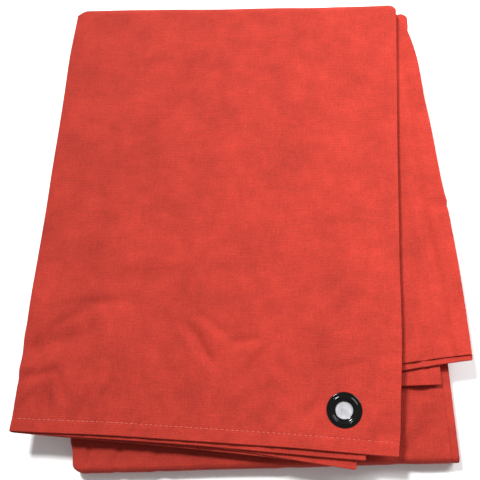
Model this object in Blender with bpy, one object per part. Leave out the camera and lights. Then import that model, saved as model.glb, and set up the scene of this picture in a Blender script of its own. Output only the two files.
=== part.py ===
"""A folded fire blanket: one hemmed sheet of heavy cloth with a metal eyelet near each of its corners.

The sheet is folded in half twice across its width and then in half twice along its length, so sixteen
layers lie on each other. Layer 1 is the top cover and layer 16 lies on the ground. Layers 1 to 8 are the
upper half, which turns over about the far end fold when the blanket is opened.

Each layer is a panel. The cloth that turns from one layer to the next is a fold: a half-round strip.
Metres, +Z up, X across the blanket, +Y towards the far end fold.
"""

import math

import bmesh
import bpy
from mathutils import Vector

MM = 0.001

# Cloth
CLOTH = 0.8 * MM  # thickness of one layer
PITCH = 1.9 * MM  # from one layer to the next
GAP = 0.3 * MM  # between a panel and the fold that it runs into
NEST = 0.8 * MM  # how far an inner fold sits inside the one round it
FLATTEN = 0.75  # a fold sticks out this share of its half height
FOLD_STEPS = 6
LAYERS = 16

# The top cover, layer 1. Its hem end lies at Y 0 while the blanket is being built.
COVER_LENGTH = 384.5 * MM  # hem end to the far end fold's line
COVER_WIDTH = 296 * MM  # at the far end
COVER_SWING = 0.1  # degrees that its right edge leans out to the right, as the swings below
COVER_LEFT_SWING = -0.45

# Each layer's right edge starts this far inside the cover's at the far end (less than 0 is outside it), and
# its hem end's right corner lies this far past the cover's hem end (less than 0 is short of it). Its swing is
# the lean of its right edge, and its tilt is how much its hem end rises to the right, in degrees.
SECOND_INSIDE = 1.5 * MM
SECOND_SWING = -3.05
SECOND_PAST = 4.1 * MM
SECOND_TILT = -0.6
THIRD_INSIDE = 2.5 * MM
THIRD_SWING = -3.8
THIRD_PAST = 11.2 * MM
THIRD_TILT = -4.5
FOURTH_PAST = 8.8 * MM
FOURTH_TILT = -1.6

# Middle packet, layers 5 to 8
FIFTH_INSIDE = -6 * MM
FIFTH_SWING = 9.05
FIFTH_PAST = -76.2 * MM
FIFTH_TILT = 8.6
FIFTH_BULGE = 6 * MM
SIXTH_PAST = -71.7 * MM
SIXTH_TILT = 9.4
SEVENTH_INSIDE = -10 * MM
SEVENTH_SWING = 4.35
SEVENTH_PAST = -54.9 * MM
SEVENTH_TILT = 5.0
EIGHTH_INSIDE = -8 * MM
EIGHTH_SWING = -0.2
EIGHTH_PAST = -52.4 * MM
MIDDLE_LEFT_INSIDE = 12 * MM
MIDDLE_LEFT_SWING = 9.7

# Lower packets, layers 9 to 16: both run into the near end fold, whose line takes the tilt
LOWER_INSIDE = -7.5 * MM
LOWER_SWING = 5.7
LOWER_PAST = -5.9 * MM
LOWER_TILT = 5.8
LOWER_STEP = 1.0 * MM  # each pair of hidden layers is drawn in by this much on the right
LOWER_LEFT_INSIDE = 7 * MM
LOWER_LEFT_SWING = 6.1

# Heights near the cover's hem end
LIFT = 1.0 * MM  # the cover rides up over the second eyelet
LIFT_START = 0.5  # share of the way from the far end fold to the drop line
DROP_SLOPE = 2.2  # degrees: the upper packet sags past the middle packet's hem end
DROP_CLEAR = 3 * MM  # the sag starts this far past that hem end

# Eyelets
EYELET_SIDE = 39.2 * MM  # centre to the side hem's edge
EYELET_END = 30.7 * MM  # centre to the end hem's edge
FLANGE_R = 13.4 * MM
HOLE_R = 6.75 * MM
BARREL_WALL = 0.6 * MM
CREST_R = 10.3 * MM
CREST_RISE = 0.3 * MM
METAL = 0.4 * MM  # thickness of the flange and of the washer
WASHER_R = 12.6 * MM
SEAT = 0.2 * MM  # cloth to metal
SLACK = 0.3 * MM  # barrel to washer, and barrel to the cloth's hole
ROUND_STEPS = 32

# Blank label on the second layer, under the cover's eyelet
LABEL_WIDTH = 20 * MM
LABEL_LENGTH = 36 * MM
LABEL_THICK = 0.3 * MM
LABEL_SIDE_CLEAR = 0.6 * MM

CLOTH_RED = (0.62, 0.06, 0.04, 1)
ENAMEL_BLACK = (0.012, 0.012, 0.013, 1)
LABEL_WHITE = (0.8, 0.8, 0.82, 1)


def clear_scene():
    for obj in list(bpy.data.objects):
        bpy.data.objects.remove(obj, do_unlink=True)


def material(name, colour, roughness, metallic):
    made = bpy.data.materials.new(name)
    made.use_nodes = True
    shader = made.node_tree.nodes["Principled BSDF"]
    shader.inputs["Base Color"].default_value = colour
    shader.inputs["Roughness"].default_value = roughness
    shader.inputs["Metallic"].default_value = metallic
    return made


def empty(name, place):
    made = bpy.data.objects.new(name, None)
    made.location = place
    bpy.context.collection.objects.link(made)
    return made


def mesh_object(name, mesh_of, parent, finish):
    """An object from a filled bmesh, with its origin on its parent and its faces pointing out."""
    bmesh.ops.recalc_face_normals(mesh_of, faces=mesh_of.faces)
    bmesh.ops.translate(mesh_of, verts=mesh_of.verts, vec=-parent.location)
    mesh = bpy.data.meshes.new(name)
    mesh_of.to_mesh(mesh)
    mesh_of.free()
    mesh.materials.append(finish)
    made = bpy.data.objects.new(name, mesh)
    made.parent = parent
    bpy.context.collection.objects.link(made)
    return made


def loft(name, sections, parent, finish):
    """One closed solid through a row of closed sections that have the same number of points."""
    form = bmesh.new()
    rings = [[form.verts.new(point) for point in section] for section in sections]
    count = len(rings[0])
    for ring, after in zip(rings, rings[1:]):
        for k in range(count):
            following = (k + 1) % count
            form.faces.new((ring[k], ring[following], after[following], after[k]))
    form.faces.new(rings[0])
    form.faces.new(rings[-1])
    return mesh_object(name, form, parent, finish)


def turned(name, profile, place, normal, parent, finish):
    """A ring from a closed profile of (radius, height) points, turned about the normal."""
    form = bmesh.new()
    rings = []
    for k in range(ROUND_STEPS):
        angle = 2 * math.pi * k / ROUND_STEPS
        rings.append([form.verts.new((r * math.cos(angle), r * math.sin(angle), z)) for r, z in profile])
    for k, ring in enumerate(rings):
        after = rings[(k + 1) % ROUND_STEPS]
        for n in range(len(profile)):
            following = (n + 1) % len(profile)
            form.faces.new((ring[n], ring[following], after[following], after[n]))
    turn = Vector((0, 0, 1)).rotation_difference(normal).to_matrix()
    bmesh.ops.transform(form, matrix=turn.to_4x4(), verts=form.verts)
    bmesh.ops.translate(form, verts=form.verts, vec=place)
    made = mesh_object(name, form, parent, finish)
    made.data.shade_smooth()
    made.data.set_sharp_from_angle(angle=math.radians(35))
    return made


def slope_point(start, swing, length):
    """The point this far down a line that leaves start towards the near end, swung to the right."""
    turn = math.radians(swing)
    return start + Vector((math.sin(turn), -math.cos(turn))) * length


def crossing(start, swing, corner, tilt):
    """Where a side line meets the end line through a corner."""
    down = slope_point(Vector((0, 0)), swing, 1)
    across = Vector((math.cos(math.radians(tilt)), math.sin(math.radians(tilt))))
    between = corner - start
    share = (between.x * across.y - between.y * across.x) / (down.x * across.y - down.y * across.x)
    return start + down * share


class Layer:
    """One layer's outline in plan, and its height along each side from the far end fold to its end."""

    def __init__(self, number, inside, swing, past, tilt, left_inside, left_swing, bulge=0.0):
        self.number = number
        far = COVER_LENGTH - GAP / 2
        self.far_right = Vector((COVER_WIDTH / 2 - inside, far))
        self.near_right = slope_point(self.far_right, swing, (far + past) / math.cos(math.radians(swing)))
        self.far_left = Vector((left_inside - COVER_WIDTH / 2, far))
        self.near_left = crossing(self.far_left, left_swing, self.near_right, tilt)
        self.tilt = math.radians(tilt)
        self.bulge = bulge
        self.height = CLOTH / 2 + (LAYERS - number) * PITCH
        self.curve(2)

    def curve(self, steps):
        self.stations = [(k / steps, k / steps, 0.0, 0.0) for k in range(steps + 1)]

    def sag(self, line_point, line_tilt, lift):
        """Rises by lift up to the drop line, and slopes down in one plane from there to the hem end."""
        turn = math.radians(line_tilt)
        away = Vector((math.sin(turn), -math.cos(turn)))
        shares = []
        drops = []
        for far, near in ((self.far_left, self.near_left), (self.far_right, self.near_right)):
            total = (near - far).dot(away)
            shares.append((line_point - far).dot(away) / total)
            drops.append((near - line_point).dot(away) * math.tan(math.radians(DROP_SLOPE)))
        left, right = shares
        self.stations = [
            (0.0, 0.0, 0.0, 0.0),
            (left * LIFT_START, right * LIFT_START, 0.0, 0.0),
            (left, right, lift, lift),
            (1.0, 1.0, lift - drops[0], lift - drops[1]),
        ]

    def edge(self, side, station):
        """The middle of the cloth at one station of the left (0) or right (1) edge."""
        share = self.stations[station][side]
        far, near = (self.far_left, self.near_left) if side == 0 else (self.far_right, self.near_right)
        flat = far.lerp(near, share)
        out = self.bulge * math.sin(math.pi * share) if side == 1 else 0.0
        return Vector((flat.x + out, flat.y, self.height + self.stations[station][2 + side]))

    def corner_place(self, in_from_side, up_from_end):
        """A place near the hem end's right corner, on the middle of the cloth, and the cloth's normal there."""
        along = Vector((math.cos(self.tilt), math.sin(self.tilt)))
        up = Vector((-along.y, along.x))
        flat = self.near_right - along * in_from_side + up * up_from_end
        return self.on_cloth(flat)

    def on_cloth(self, flat):
        """The point of the last stretch of cloth over this place in plan, and the cloth's normal there."""
        left, low_left = self.edge(0, -2), self.edge(0, -1)
        right, low_right = self.edge(1, -2), self.edge(1, -1)
        across = (flat.x - low_left.x) / (low_right.x - low_left.x)
        top = left.lerp(right, across)
        low = low_left.lerp(low_right, across)
        down = (top.y - flat.y) / (top.y - low.y)
        point = top.lerp(low, down)
        normal = (low_right - low_left).cross(top - low).normalized()
        return Vector((flat.x, flat.y, point.z)), normal


def make_layers():
    cover_left = (0.0, COVER_LEFT_SWING)
    cover_left_nested = (NEST, COVER_LEFT_SWING)
    middle_left = (MIDDLE_LEFT_INSIDE, MIDDLE_LEFT_SWING)
    middle_left_nested = (MIDDLE_LEFT_INSIDE + NEST, MIDDLE_LEFT_SWING)
    layers = {
        1: Layer(1, 0.0, COVER_SWING, 0.0, 0.0, *cover_left),
        2: Layer(2, SECOND_INSIDE, SECOND_SWING, SECOND_PAST, SECOND_TILT, *cover_left_nested),
        3: Layer(3, THIRD_INSIDE, THIRD_SWING, THIRD_PAST, THIRD_TILT, *cover_left_nested),
        4: Layer(4, THIRD_INSIDE, THIRD_SWING, FOURTH_PAST, FOURTH_TILT, *cover_left),
        5: Layer(5, FIFTH_INSIDE, FIFTH_SWING, FIFTH_PAST, FIFTH_TILT, *middle_left, FIFTH_BULGE),
        6: Layer(6, FIFTH_INSIDE, FIFTH_SWING, SIXTH_PAST, SIXTH_TILT, *middle_left_nested, FIFTH_BULGE),
        7: Layer(7, SEVENTH_INSIDE, SEVENTH_SWING, SEVENTH_PAST, SEVENTH_TILT, *middle_left_nested),
        8: Layer(8, EIGHTH_INSIDE, EIGHTH_SWING, EIGHTH_PAST, SEVENTH_TILT, *middle_left),
    }
    for number in range(9, LAYERS + 1):
        # Layers 9 and 16 are the outermost pair of the near end fold, and 12 and 13 the innermost.
        inward = (min(number, 25 - number) - 9) * LOWER_STEP
        nested = NEST if number in (10, 11, 14, 15) else 0.0
        left_inside = LOWER_LEFT_INSIDE + nested
        layers[number] = Layer(
            number, LOWER_INSIDE + inward, LOWER_SWING, LOWER_PAST, LOWER_TILT, left_inside, LOWER_LEFT_SWING
        )
    # The near ends of the lower layers all lie on one fold line.
    outermost = layers[9]
    for number in range(10, LAYERS + 1):
        layer = layers[number]
        layer.near_right = crossing(layer.far_right, LOWER_SWING, outermost.near_right, LOWER_TILT)
        layer.near_left = crossing(layer.far_left, LOWER_LEFT_SWING, outermost.near_right, LOWER_TILT)

    fifth = layers[5]
    drop_point = fifth.near_right - Vector((0, DROP_CLEAR))
    for number in range(1, 5):
        layers[number].sag(drop_point, FIFTH_TILT, LIFT if number == 1 else 0.0)
    for number in range(5, 9):
        layers[number].curve(FOLD_STEPS)
    return layers


def panel(layer, parent, finish):
    thick = Vector((0, 0, CLOTH / 2))
    sections = []
    for station in range(len(layer.stations)):
        left, right = layer.edge(0, station), layer.edge(1, station)
        sections.append([left + thick, right + thick, right - thick, left - thick])
    return loft(f"panel_{layer.number:02d}", sections, parent, finish)


def fold_section(upper, lower, outward):
    """The closed section of a half-round strip from one edge point to the one below it."""
    half = (upper.z - lower.z) / 2
    section = []
    for grow, steps in ((CLOTH / 2, range(FOLD_STEPS + 1)), (-CLOTH / 2, range(FOLD_STEPS, -1, -1))):
        for k in steps:
            share = k / FOLD_STEPS
            angle = math.pi * share
            flat = upper.lerp(lower, share)
            reach = GAP + (half * FLATTEN + grow) * math.sin(angle)
            level = lower.z + half + (half + grow) * math.cos(angle)
            section.append(Vector((flat.x, flat.y, level)) + outward * reach)
    return section


def side_fold(side, upper, lower, parent, finish):
    name = "left" if side == 0 else "right"
    outward = Vector((-1 if side == 0 else 1, 0, 0))
    sections = [
        fold_section(upper.edge(side, station), lower.edge(side, station), outward)
        for station in range(len(upper.stations))
    ]
    return loft(f"{name}_fold_{upper.number:02d}_{lower.number:02d}", sections, parent, finish)


def far_fold(upper, lower, parent, finish):
    outward = Vector((0, 1, 0))
    sections = [fold_section(upper.edge(side, 0), lower.edge(side, 0), outward) for side in (0, 1)]
    return loft(f"far_fold_{upper.number:02d}_{lower.number:02d}", sections, parent, finish)


def near_fold(upper, lower, parent, finish):
    outward = Vector((math.sin(upper.tilt), -math.cos(upper.tilt), 0))
    sections = [fold_section(upper.edge(side, -1), lower.edge(side, -1), outward) for side in (0, 1)]
    return loft(f"near_fold_{upper.number:02d}_{lower.number:02d}", sections, parent, finish)


def eyelet_profile():
    """Half section of the eyelet: flange, crest, funnel and barrel. Height 0 is the middle of the cloth."""
    under = CLOTH / 2 + SEAT
    top = under + METAL
    foot = -under - METAL
    outer = HOLE_R + BARREL_WALL
    lip = 0.8 * MM
    return [
        (FLANGE_R, under),
        (FLANGE_R, top - 0.2 * MM),
        (FLANGE_R - lip, top),
        (CREST_R + lip / 2, top + CREST_RISE - 0.1 * MM),
        (CREST_R, top + CREST_RISE),
        (CREST_R - lip / 2, top + CREST_RISE - 0.1 * MM),
        (outer + 1.2 * MM, top - 0.05 * MM),
        (outer + 0.2 * MM, top - 0.25 * MM),
        (HOLE_R + 0.2 * MM, under - 0.15 * MM),
        (HOLE_R, 0.0),
        (HOLE_R, foot),
        (outer, foot),
        (outer, under - 0.2 * MM),
        (outer + 0.2 * MM, under),
    ]


def washer_profile():
    high = -CLOTH / 2 - SEAT
    low = high - METAL
    bore = HOLE_R + BARREL_WALL + SLACK
    return [
        (WASHER_R, high),
        (bore, high),
        (bore, low + 0.15 * MM),
        (bore + 0.15 * MM, low),
        (WASHER_R - 0.3 * MM, low),
        (WASHER_R, low + 0.3 * MM),
    ]


def eyelet_set(index, layer, cloth_panel, parent, finish):
    """The eyelet and its washer through one corner of the cloth, and the hole that they need."""
    place, normal = layer.corner_place(EYELET_SIDE, EYELET_END)
    turned(f"eyelet_{index}", eyelet_profile(), place, normal, parent, finish)
    turned(f"eyelet_washer_{index}", washer_profile(), place, normal, parent, finish)
    reach = HOLE_R + BARREL_WALL + SLACK
    form = bmesh.new()
    bmesh.ops.create_cone(
        form, cap_ends=True, segments=ROUND_STEPS, radius1=reach, radius2=reach, depth=4 * CLOTH
    )
    turn = Vector((0, 0, 1)).rotation_difference(normal).to_matrix()
    bmesh.ops.transform(form, matrix=turn.to_4x4(), verts=form.verts)
    bmesh.ops.translate(form, verts=form.verts, vec=place)
    cutter = mesh_object(f"eyelet_hole_{index}", form, parent, finish)
    cutter.hide_render = True
    cutter.display_type = "WIRE"
    cut = cloth_panel.modifiers.new("eyelet_hole", "BOOLEAN")
    cut.operation = "DIFFERENCE"
    cut.solver = "EXACT"
    cut.object = cutter
    return place


def blank_label(layer, under_place, beside_place, parent, finish):
    """A thin plain label that lies on the second layer and shows through the cover's eyelet."""
    left = beside_place.x + FLANGE_R + LABEL_SIDE_CLEAR
    near = under_place.y - LABEL_LENGTH / 2
    low = CLOTH / 2 + GAP
    sections = []
    for y in (near, near + LABEL_LENGTH):
        section = []
        for x, rise in (
            (left, low),
            (left + LABEL_WIDTH, low),
            (left + LABEL_WIDTH, low + LABEL_THICK),
            (left, low + LABEL_THICK),
        ):
            point, _ = layer.on_cloth(Vector((x, y)))
            section.append(point + Vector((0, 0, rise)))
        sections.append(section)
    return loft("blank_label", sections, parent, finish)


def stand_on_origin(empties):
    """Moves the whole blanket so that the middle of its footprint is at the origin."""
    bpy.context.view_layer.update()
    corners = [
        obj.matrix_world @ vertex.co
        for obj in bpy.data.objects
        if obj.type == "MESH" and not obj.hide_render
        for vertex in obj.data.vertices
    ]
    low = Vector([min(corner[axis] for corner in corners) for axis in range(3)])
    high = Vector([max(corner[axis] for corner in corners) for axis in range(3)])
    middle = (low + high) / 2
    for holder in empties:
        holder.location -= Vector((middle.x, middle.y, low.z))


def build():
    clear_scene()
    red = material("cotton_canvas", CLOTH_RED, 0.85, 0.0)
    black = material("black_enamel", ENAMEL_BLACK, 0.25, 0.0)
    white = material("label_tape", LABEL_WHITE, 0.7, 0.0)

    layers = make_layers()
    axis_height = (layers[8].height + layers[9].height) / 2
    lower_half = empty("lower_half", Vector((0, COVER_LENGTH, 0)))
    upper_half = empty("upper_half", Vector((0, COVER_LENGTH, axis_height)))

    panels = {}
    for number, layer in layers.items():
        parent = upper_half if number <= 8 else lower_half
        panels[number] = panel(layer, parent, red)

    for first in (1, 5, 9, 13):
        parent = upper_half if first <= 8 else lower_half
        side_fold(0, layers[first], layers[first + 3], parent, red)
        side_fold(0, layers[first + 1], layers[first + 2], parent, red)
        # The middle crease of the width is on the right, next to the one hidden by it.
        pair = (first + 2, first + 3) if first in (1, 9) else (first, first + 1)
        side_fold(1, layers[pair[0]], layers[pair[1]], parent, red)

    for number in range(1, 9):
        far_fold(layers[number], layers[17 - number], lower_half, red)
    for number in range(9, 13):
        near_fold(layers[number], layers[25 - number], lower_half, red)

    places = {}
    for index, number in enumerate((1, 2, 7, 8), start=1):
        places[number] = eyelet_set(index, layers[number], panels[number], upper_half, black)
    blank_label(layers[2], places[1], places[2], upper_half, white)
    stand_on_origin((lower_half, upper_half))


build()
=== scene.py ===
import math

import bpy
import numpy as np
from mathutils import Matrix, Vector, noise


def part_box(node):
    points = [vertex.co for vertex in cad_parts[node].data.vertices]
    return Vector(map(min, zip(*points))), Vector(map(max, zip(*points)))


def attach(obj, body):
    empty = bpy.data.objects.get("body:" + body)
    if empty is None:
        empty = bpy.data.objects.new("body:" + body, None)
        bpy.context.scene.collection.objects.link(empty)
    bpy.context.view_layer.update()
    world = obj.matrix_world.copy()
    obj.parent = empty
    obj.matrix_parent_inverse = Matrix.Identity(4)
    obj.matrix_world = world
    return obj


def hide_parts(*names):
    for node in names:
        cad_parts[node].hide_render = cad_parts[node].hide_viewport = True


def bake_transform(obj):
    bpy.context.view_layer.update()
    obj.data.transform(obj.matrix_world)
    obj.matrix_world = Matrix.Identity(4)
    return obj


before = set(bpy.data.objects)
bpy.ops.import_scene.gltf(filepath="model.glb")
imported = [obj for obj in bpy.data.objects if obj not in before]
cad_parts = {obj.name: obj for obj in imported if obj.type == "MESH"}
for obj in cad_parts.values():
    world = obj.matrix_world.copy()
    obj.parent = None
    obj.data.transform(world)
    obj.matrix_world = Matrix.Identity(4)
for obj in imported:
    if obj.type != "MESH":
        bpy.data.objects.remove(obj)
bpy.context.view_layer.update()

# ------------------------------------------------------------------------------------------------
# The sheet. One rectangle of heavy cotton canvas, turned in and sewn along all four sides, then
# folded in half four times. It is piece-dyed red, plain-woven from slightly uneven spun yarn, and
# sixteen layers of it lie on each other. Each layer's outline comes from the fixed model's panel.
# ------------------------------------------------------------------------------------------------
MM = 0.001
CANVAS = 0.55 * MM  # thickness of the cloth
END_HEM = 10 * MM
SIDE_HEM = 11 * MM
MIDDLE_END_HEM = 15 * MM  # the other end of the sheet is turned in further


def linear(code):
    """Linear RGB and an alpha of 1 from an sRGB hex code."""
    channels = [int(code[k : k + 2], 16) / 255 for k in (1, 3, 5)]
    return [c / 12.92 if c <= 0.04045 else ((c + 0.055) / 1.055) ** 2.4 for c in channels] + [1.0]


def node(tree, kind, settings=None, **inputs):
    """Adds a node. settings are its attributes; inputs are values or output sockets, by socket name."""
    made = tree.nodes.new(kind)
    for name, value in (settings or {}).items():
        setattr(made, name, value)
    for name, value in inputs.items():
        key = int(name[1:]) if name[0] == "_" and name[1:].isdigit() else name.replace("_", " ")
        if isinstance(value, bpy.types.NodeSocket):
            tree.links.new(value, made.inputs[key])
        else:
            made.inputs[key].default_value = value
    return made


def blank_material(name):
    """A material with no nodes yet, and its node tree."""
    made = bpy.data.materials.new(name)
    made.use_nodes = True
    made.node_tree.nodes.clear()
    return made, made.node_tree


def smoothstep(t):
    t = np.clip(t, 0, 1)
    return t * t * (3 - 2 * t)


def eased(at, knots):
    """A smooth curve through a few (place, value) knots."""
    places, values = np.array(knots, float).T
    k = np.clip(np.searchsorted(places, at, side="right") - 1, 0, len(places) - 2)
    t = smoothstep((at - places[k]) / (places[k + 1] - places[k]))
    return values[k] * (1 - t) + values[k + 1] * t


def soft_noise(x, y, grain, seed):
    """Smooth noise from about -1 to 1 with lumps of this size."""
    flat = np.stack([np.ravel(x) / grain, np.ravel(y) / grain], 1)
    values = [noise.noise(Vector((a, b, seed * 7.3))) for a, b in flat]
    return np.array(values).reshape(np.shape(x)) * 1.6


WAVE_BAND = 0.314  # a wave texture of scale 1 has its bands this far apart, in metres
YARNS_APART = 1.5 * MM  # really about 0.6 mm; drawn as fine as it still shows


def canvas_material():
    """Woven cotton: matt, a little sheen from loose fibre, uneven dye and uneven yarn, with painted light
    and shade across it.
    """
    made, tree = blank_material("dyed_cotton_canvas")
    place = node(tree, "ShaderNodeUVMap", {"uv_map": "cut"}).outputs["UV"]

    yarns = []
    for direction in ("X", "Y"):
        wobble = node(tree, "ShaderNodeTexNoise", Vector=place, Scale=160.0, Detail=2.0)
        bent = node(
            tree, "ShaderNodeMixRGB", {"blend_type": "ADD"}, Fac=0.0004, Color1=place,
            Color2=wobble.outputs["Color"],
        )
        waves = node(
            tree, "ShaderNodeTexWave", {"bands_direction": direction, "wave_profile": "SIN"},
            Vector=bent.outputs["Color"], Scale=WAVE_BAND / YARNS_APART, Distortion=0.0,
        )
        yarns.append(waves.outputs["Fac"])
    crossed = node(tree, "ShaderNodeMath", {"operation": "MULTIPLY"}, _0=yarns[0], _1=yarns[1])
    weave = node(tree, "ShaderNodeMath", {"operation": "POWER"}, _0=crossed.outputs[0], _1=0.6)

    # Slubs: thick stretches of yarn, long one way and narrow the other.
    slubs = []
    for stretch in ((55.0, 900.0, 1.0), (900.0, 55.0, 1.0)):
        pulled = node(tree, "ShaderNodeVectorMath", {"operation": "MULTIPLY"}, _0=place, _1=stretch)
        streak = node(
            tree, "ShaderNodeTexNoise", Vector=pulled.outputs[0], Scale=1.0, Detail=2.0, Roughness=0.6
        )
        slubs.append(streak.outputs["Fac"])
    slub = node(tree, "ShaderNodeMath", {"operation": "ADD"}, _0=slubs[0], _1=slubs[1])

    # Uneven dye and rubbed places: hand-wide clouds, finger-wide patches and loose fibre.
    clouds = node(tree, "ShaderNodeTexNoise", Vector=place, Scale=24.0, Detail=6.0, Roughness=0.62)
    blotch = node(tree, "ShaderNodeTexNoise", Vector=place, Scale=75.0, Detail=3.0, Roughness=0.6)
    fluff = node(tree, "ShaderNodeTexNoise", Vector=place, Scale=520.0, Detail=2.0, Roughness=0.7)
    shares = [
        (clouds.outputs["Fac"], 0.62), (blotch.outputs["Fac"], 0.34),
        (fluff.outputs["Fac"], 0.62), (slub.outputs[0], 0.22), (weave.outputs[0], 0.08),
    ]
    total = None
    for socket, weight in shares:
        scaled = node(tree, "ShaderNodeMath", {"operation": "MULTIPLY"}, _0=socket, _1=weight).outputs[0]
        if total is None:
            total = scaled
        else:
            total = node(tree, "ShaderNodeMath", {"operation": "ADD"}, _0=total, _1=scaled).outputs[0]
    tone = node(
        tree, "ShaderNodeMapRange", Value=total, From_Min=0.72, From_Max=1.34, To_Min=0.0, To_Max=1.0
    )
    dye = node(tree, "ShaderNodeValToRGB", Fac=tone.outputs["Result"])
    dye.color_ramp.elements[0].color = linear("#85251C")
    dye.color_ramp.elements[1].color = linear("#BA392C")
    middle = dye.color_ramp.elements.new(0.5)
    middle.color = linear("#A22F24")

    # Painted light and shade: the colour is painted lighter towards the right and darker towards the left,
    # standing in for light that falls more strongly on the right. It is also painted darker the lower the
    # cloth lies in the stack, standing in for the shade under the layers above.
    solid = node(tree, "ShaderNodeTexCoord").outputs["Object"]
    axes = node(tree, "ShaderNodeSeparateXYZ", _0=solid)
    # Painted light: a factor from darker on the left to lighter on the right.
    painted_light_across = node(
        tree, "ShaderNodeMapRange", Value=axes.outputs["X"], From_Min=-0.17, From_Max=0.17,
        To_Min=0.87, To_Max=1.10,
    )
    # Painted shade: a factor that darkens the cloth lying low in the stack.
    painted_shade_low = node(
        tree, "ShaderNodeMapRange", Value=axes.outputs["Z"], From_Min=0.0145, From_Max=0.020,
        To_Min=0.86, To_Max=1.0,
    )
    # Both painted factors together scale the dye colour.
    painted_light_and_shade = node(
        tree, "ShaderNodeMath", {"operation": "MULTIPLY"}, _0=painted_light_across.outputs["Result"],
        _1=painted_shade_low.outputs["Result"],
    )
    colour = node(
        tree, "ShaderNodeVectorMath", {"operation": "SCALE"}, _0=dye.outputs["Color"], Scale=painted_light_and_shade.outputs[0]
    )

    lift = node(tree, "ShaderNodeMath", {"operation": "MULTIPLY"}, _0=slub.outputs[0], _1=0.5)
    height = node(tree, "ShaderNodeMath", {"operation": "ADD"}, _0=weave.outputs[0], _1=lift.outputs[0])
    bump = node(tree, "ShaderNodeBump", Strength=0.7, Distance=0.16 * MM, Height=height.outputs[0])
    rough = node(
        tree, "ShaderNodeMapRange", Value=fluff.outputs["Fac"], From_Min=0.3, From_Max=0.7,
        To_Min=0.82, To_Max=0.95,
    )
    shader = node(
        tree, "ShaderNodeBsdfPrincipled", Base_Color=colour.outputs[0],
        Roughness=rough.outputs["Result"], Normal=bump.outputs["Normal"], IOR=1.47,
        Specular_IOR_Level=0.2, Sheen_Weight=0.06, Sheen_Roughness=0.5,
        Sheen_Tint=linear("#F0A090"),
    )
    node(tree, "ShaderNodeOutputMaterial", Surface=shader.outputs["BSDF"])
    return made


CANVAS_RED = canvas_material()


class Layer:
    """One layer of the folded sheet, with its outline and height read from its panel."""

    def __init__(self, number, left_in, right_in, left_wave=(), right_wave=(), end_wave=()):
        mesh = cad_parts[f"panel_{number:02d}"].data
        points = np.array([vertex.co for vertex in mesh.vertices])
        plan = points[:, :2]
        self.number = number
        self.far_left, self.far_right, self.near_left, self.near_right = (
            plan[np.argmax(plan @ np.array(way))] for way in ((-1, 1), (1, 1), (-1, -1), (1, -1))
        )
        self.width = self.far_right[0] - self.far_left[0]
        far_points = points[plan[:, 1] > plan[:, 1].max() - MM]
        self.height = (far_points[:, 2].min() + far_points[:, 2].max()) / 2
        chord = self.near_right - self.far_right
        outward = np.array([-chord[1], chord[0]]) / np.linalg.norm(chord)
        self.bulge = max(0.0, ((plan - self.far_right) @ outward).max())
        self.inward = (left_in, right_in)
        self.waves = (left_wave, right_wave)
        self.end_wave = end_wave

    def side(self, which, share):
        """Plan points of the left (0) or right (1) edge, at these shares of the way from the far end."""
        far, near = ((self.far_left, self.near_left), (self.far_right, self.near_right))[which]
        line = far + (near - far) * share[:, None]
        out = self.bulge * np.sin(math.pi * share) if which else np.zeros_like(share)
        if self.waves[which]:
            out = out + eased(share, self.waves[which]) * MM
        line[:, 0] += (1 if which else -1) * (out - self.inward[which])
        return line

    def length(self):
        return np.linalg.norm((self.near_left + self.near_right - self.far_left - self.far_right) / 2)

    def plan(self, share, across):
        """Plan points, one row for each share of the length and one column for each share of the width."""
        left = self.side(0, share)[:, None, :]
        right = self.side(1, share)[:, None, :]
        flat = left + (right - left) * across[None, :, None]
        if self.end_wave:
            pull = smoothstep((share - 0.8) / 0.2)[:, None]
            flat[..., 1] -= pull * eased(across, self.end_wave)[None, :] * MM
        return flat


def leg(layer, share, across):
    """The cloth of one layer as a grid of points, dented, sagging and drawn in by its sewing."""
    flat = layer.plan(share, across)
    x, y = flat[..., 0], flat[..., 1]
    from_end = np.repeat(((1 - share) * layer.length())[:, None], len(across), 1)
    from_side = np.repeat(((1 - across) * layer.width)[None, :], len(share), 0)
    z = layer.height + sag(layer.number, x, y) + relief(layer.number, x, y)
    z = z + hem_relief(layer.number, x, y, from_end, from_side)
    return np.concatenate([flat, z[..., None]], 2)


FLATTEN = 0.75  # a fold sticks out this share of its half height
ARC = 7  # points round a fold


def turn_over(upper, lower, outward, steps=ARC, end_points=False, further=0.0):
    """The half-round stretch of cloth between two rows of points, as rows from upper to lower."""
    half = (upper - lower) / 2
    middle = (upper + lower) / 2
    reach = np.abs(half[:, 2:3]) * FLATTEN + further
    first, last = (0, steps + 2) if end_points else (1, steps + 1)
    rows = []
    for k in range(first, last):
        angle = math.pi * k / (steps + 1)
        rows.append(middle + half * math.cos(angle) + outward * reach * math.sin(angle))
    return rows


STEP = 5.0 * MM  # mesh spacing where the cloth is hidden or plain
FINE_STEP = 2.2 * MM  # and where it shows
EDGE_ROWS = [0, 0.5, 1.3, 2.6, 4.2, 6.0, 8.0, 9.6, 10.6, 11.6, 13.2, 15.6]  # in mm from a hemmed edge


def across_shares(layer, direction, step):
    """Shares of the width to sample, close together at a hemmed right edge, in the path's direction."""
    hem = [1 - d * MM / layer.width for d in EDGE_ROWS]
    rest = np.linspace(0, hem[-1], max(3, int(hem[-1] * layer.width / step)), endpoint=False)
    shares = np.array(sorted(list(rest) + hem))
    return shares if direction == "right" else shares[::-1]


NEAR_ROWS = [0, 0.5, 1.2, 2.2, 3.4, 4.8, 6.2, 7.6, 8.8, 9.7, 10.6, 11.6, 13, 15, 17.2, 19.6, 22.2]


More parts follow.
